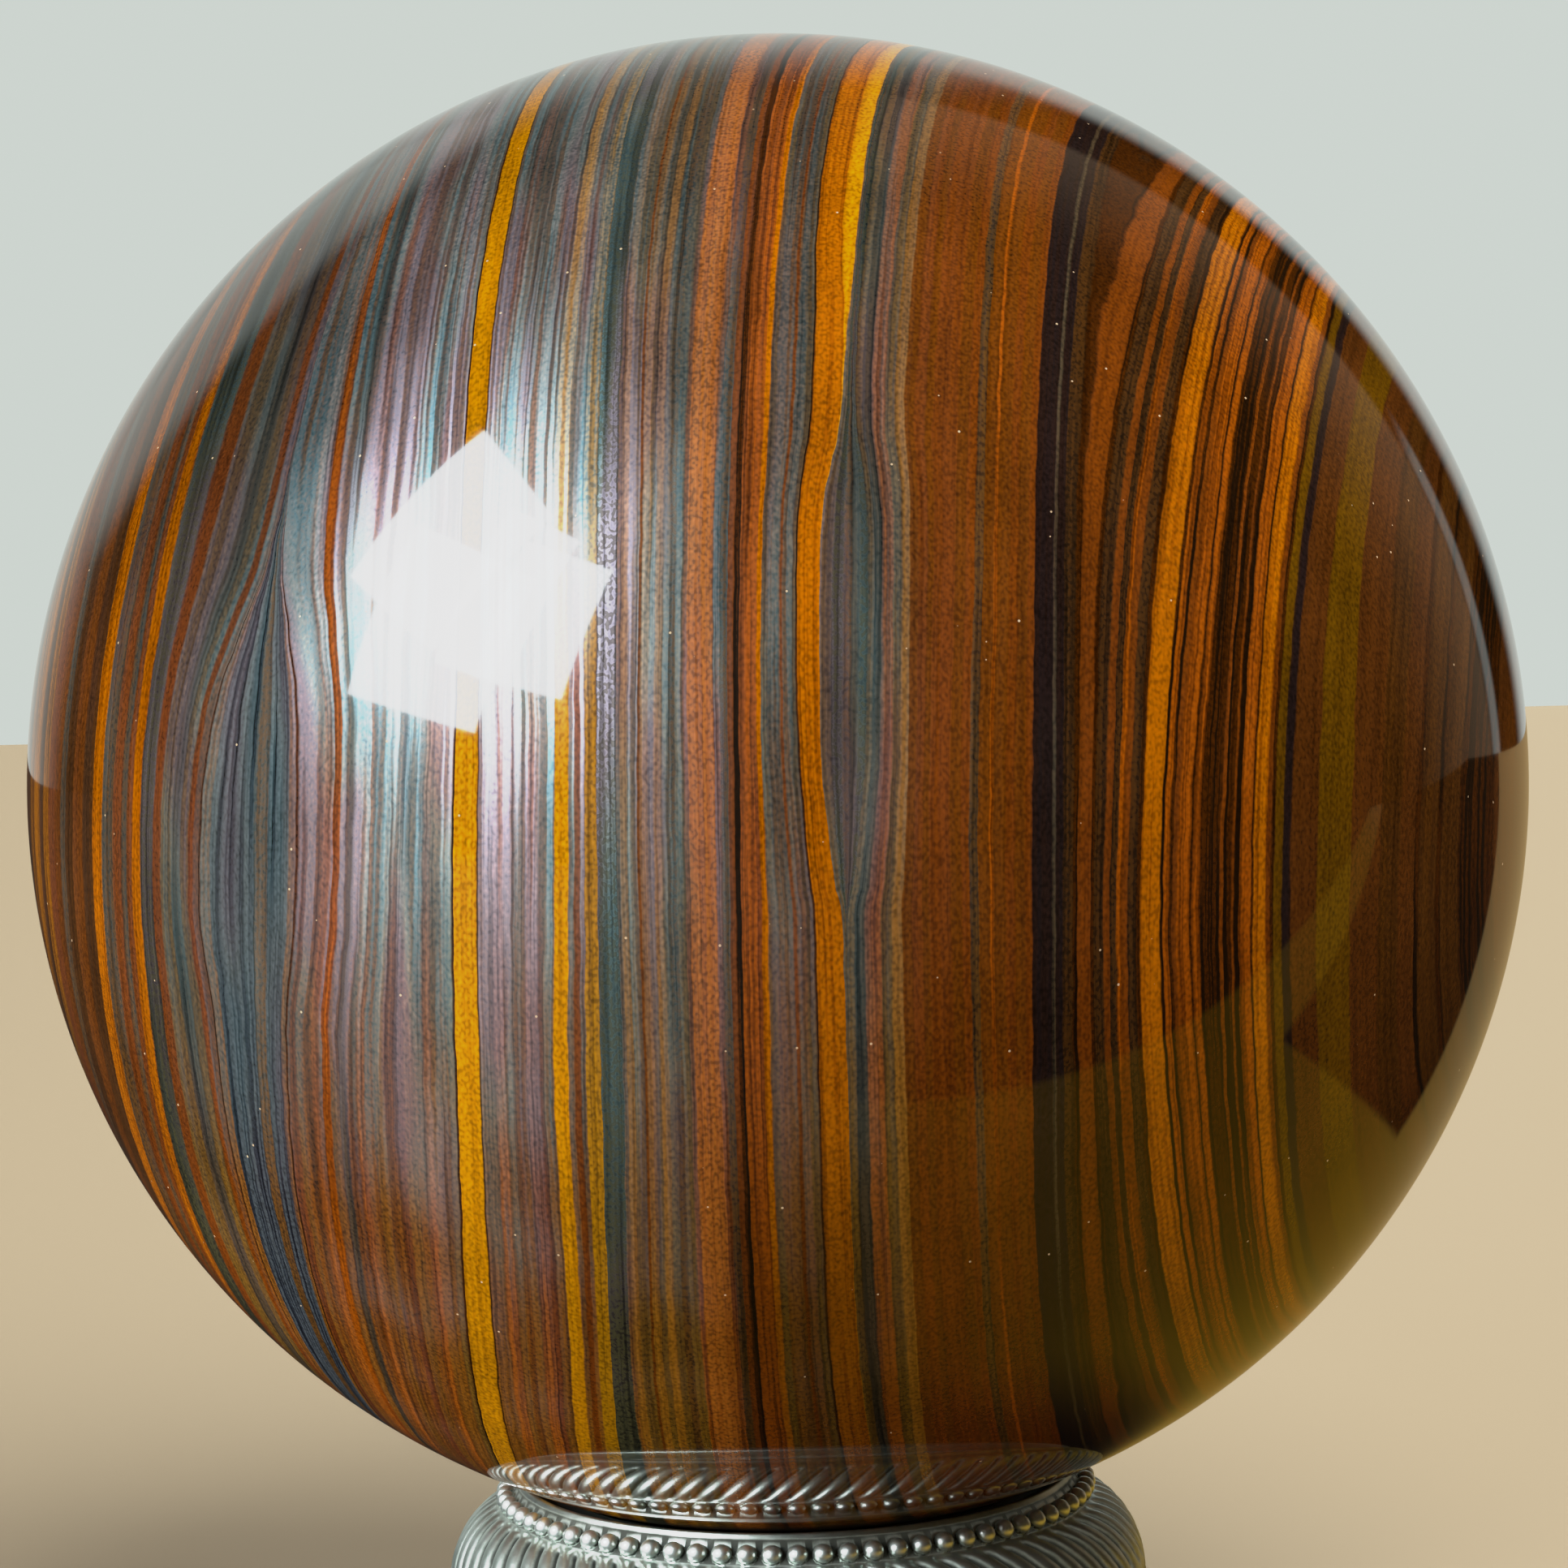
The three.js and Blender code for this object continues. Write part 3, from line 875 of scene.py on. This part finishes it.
def area_light(name, place, width, height, radiance, roll=0.0, only=None, blockers=()):
    """A rectangular lamp that faces the sphere's centre from a place given relative to it.

    Where `only` is given, the lamp lights just that object, and just the blockers cast shadows in its light.
    """
    data = bpy.data.lights.new(name, "AREA")
    data.shape = "RECTANGLE"
    data.size = width
    data.size_y = height
    data.energy = radiance * width * height * math.pi
    lamp = bpy.data.objects.new(name, data)
    facing = Vector(place).to_track_quat("Z", "Y").to_matrix().to_4x4()
    lamp.matrix_world = Matrix.Translation(CENTRE + Vector(place)) @ facing @ Matrix.Rotation(roll, 4, "Z")
    lamp.visible_camera = False
    bpy.context.collection.objects.link(lamp)
    if only:
        lit, shading = [bpy.data.collections.new(name + part) for part in ("_lights", "_shaded_by")]
        lit.objects.link(only)
        for blocker in blockers:
            shading.objects.link(blocker)
        lamp.light_linking.receiver_collection = lit
        lamp.light_linking.blocker_collection = shading
    return lamp


# The window's panes: how far their middles lie to the right of its direction, as the picture shows it, and
# above it, and their sizes, all in metres, and their roll in degrees
WINDOW_DIRECTION = Vector((-0.744, -0.399, 0.536))
WINDOW_RADIANCE = 26.0
WINDOW_COLOUR = (0.82, 0.93, 1.0)
Pane = namedtuple("Pane", "across rise width height roll")
PANES = [
    Pane(0.02, 0.08, 0.34, 0.42, -20),
    Pane(0.10, -0.12, 0.40, 0.40, -6),
    Pane(0.24, 0.00, 0.22, 0.40, -10),
    Pane(0.37, -0.02, 0.26, 0.36, -8),
]

# The soft lamps: their places from the sphere's centre and their sizes in metres, and their radiance
Lamp = namedtuple("Lamp", "place width height radiance")
SOFT_COLOUR = (1.0, 0.94, 0.84)
KEY = Lamp((-0.86, -0.50, 0.08), 1.2, 0.5, 3.0 * math.pi)
FILL = Lamp((0.52, -0.32, 0.79), 1.2, 1.2, 1.9 * math.pi)
BACK = Lamp((0.35, 0.85, 0.45), 1.2, 1.2, 1.2 * math.pi)
BOUNCE = Lamp((-0.95, -0.14, -0.30), 1.0, 0.6, 3.6 * math.pi)
WASH = Lamp((-0.85, -0.45, 0.30), 1.1, 0.9, 3.6)


def make_lights(sphere, ring):
    """A window of four panes, which the polish mirrors, soft lamps that it doesn't, and one for the ring."""
    right = Vector((0, 0, 1)).cross(WINDOW_DIRECTION).normalized()
    up = WINDOW_DIRECTION.cross(right)
    for pane in PANES:
        place = WINDOW_DIRECTION + right * pane.across + up * pane.rise
        lamp = area_light("pane", place, pane.width, pane.height, WINDOW_RADIANCE, math.radians(pane.roll))
        lamp.data.color = WINDOW_COLOUR
        lamp.visible_diffuse = False
    soft = [
        area_light("key", *KEY),
        area_light("fill", *FILL),
        area_light("back", *BACK),
        area_light("bounce", *BOUNCE, only=sphere, blockers=(sphere, ring)),
    ]
    for lamp in soft:
        lamp.data.color = SOFT_COLOUR
        lamp.visible_glossy = False
    area_light("wash", *WASH, only=ring, blockers=(sphere, ring))


WALL = linear(205, 212, 206)
BROWN_WALL = linear(150, 128, 104)
DARK_ROOM = linear(24, 16, 6)
BACKDROP = linear(205, 213, 207)
STRIP_SHARE = 0.8  # how bright the strip is, as a share of the pale wall
# Where these are around the ball: x points to the right, y to the back and z up, each from -1 to 1, and a
# pair says where something starts and is full
RIGHT_HALF = (0.05, 0.25)
WALL_AT_LEFT = (0.72, 1.0)
WALL_AT_RIGHT = (0.89, 0.95)
HAZE_DIRECTION = (-0.42, 0.85, 0.32)
HAZE = (0.95, 0.985)
STRIP_SIDES = ((0.74, 0.76), (0.80, 0.78))
STRIP_ENDS = ((-0.16, -0.10), (0.24, 0.18))
BROWN_SIDES = ((0.25, 0.72), (0.76, 0.73))


def make_world():
    """The backdrop, and what the polish mirrors: a pale wall behind with haze at its upper left, a dark gap,
    a bright strip and a brown wall at the right, and a dark room in front."""
    world = bpy.data.worlds.new("studio")
    bpy.context.scene.world = world
    graph = Graph(world)
    x, y, z = graph.split(graph.add("ShaderNodeTexCoord").outputs["Generated"])
    right = x.rise(*RIGHT_HALF)
    wall = y.rise(*WALL_AT_LEFT) * (1.0 - right) + y.rise(*WALL_AT_RIGHT) * right
    haze = sum(part * share for part, share in zip((x, y, z), HAZE_DIRECTION)).rise(*HAZE)
    strip = y.rise(*STRIP_SIDES[0]) * y.rise(*STRIP_SIDES[1]) * right
    strip = strip * z.rise(*STRIP_ENDS[0]) * z.rise(*STRIP_ENDS[1])
    brown = y.rise(*BROWN_SIDES[0]) * y.rise(*BROWN_SIDES[1]) * right
    room = graph.mix(brown, DARK_ROOM, BROWN_WALL)
    room = graph.mix(wall.at_least(haze).at_least(strip * STRIP_SHARE), room, WALL)
    seen = graph.mix(graph.add("ShaderNodeLightPath").outputs["Is Camera Ray"], room, BACKDROP)
    graph.feed(graph.tree.nodes["Background"].inputs["Color"], seen)


KNEE = 0.66  # up to here the picture shows light as it is, and above it highlights roll off
ROLL_OFF = [(1.0, 0.745), (1.6, 0.79), (4.0, 0.81)]  # (light, what the picture shows of it)
WHOLE_CURVE = 3  # of the four curves, the one for all channels together


def set_view():
    """A film's soft shoulder, so that the window's highlight stays a soft white."""
    view = bpy.context.scene.view_settings
    view.view_transform = "Standard"
    view.use_curve_mapping = True
    reach = ROLL_OFF[-1][0]
    view.curve_mapping.white_level = (reach, reach, reach)
    points = view.curve_mapping.curves[WHOLE_CURVE].points
    points[0].location = (0.0, 0.0)
    points[1].location = (1.0, ROLL_OFF[-1][1])
    for light, shown in [(KNEE, KNEE), *ROLL_OFF[:-1]]:
        points.new(light / reach, shown)
    for point in points:
        point.handle_type = "VECTOR"
    view.curve_mapping.update()


ball = make_sphere()
stand = make_ring()
make_floor()
make_lights(ball, stand)
make_world()
make_camera()
set_view()
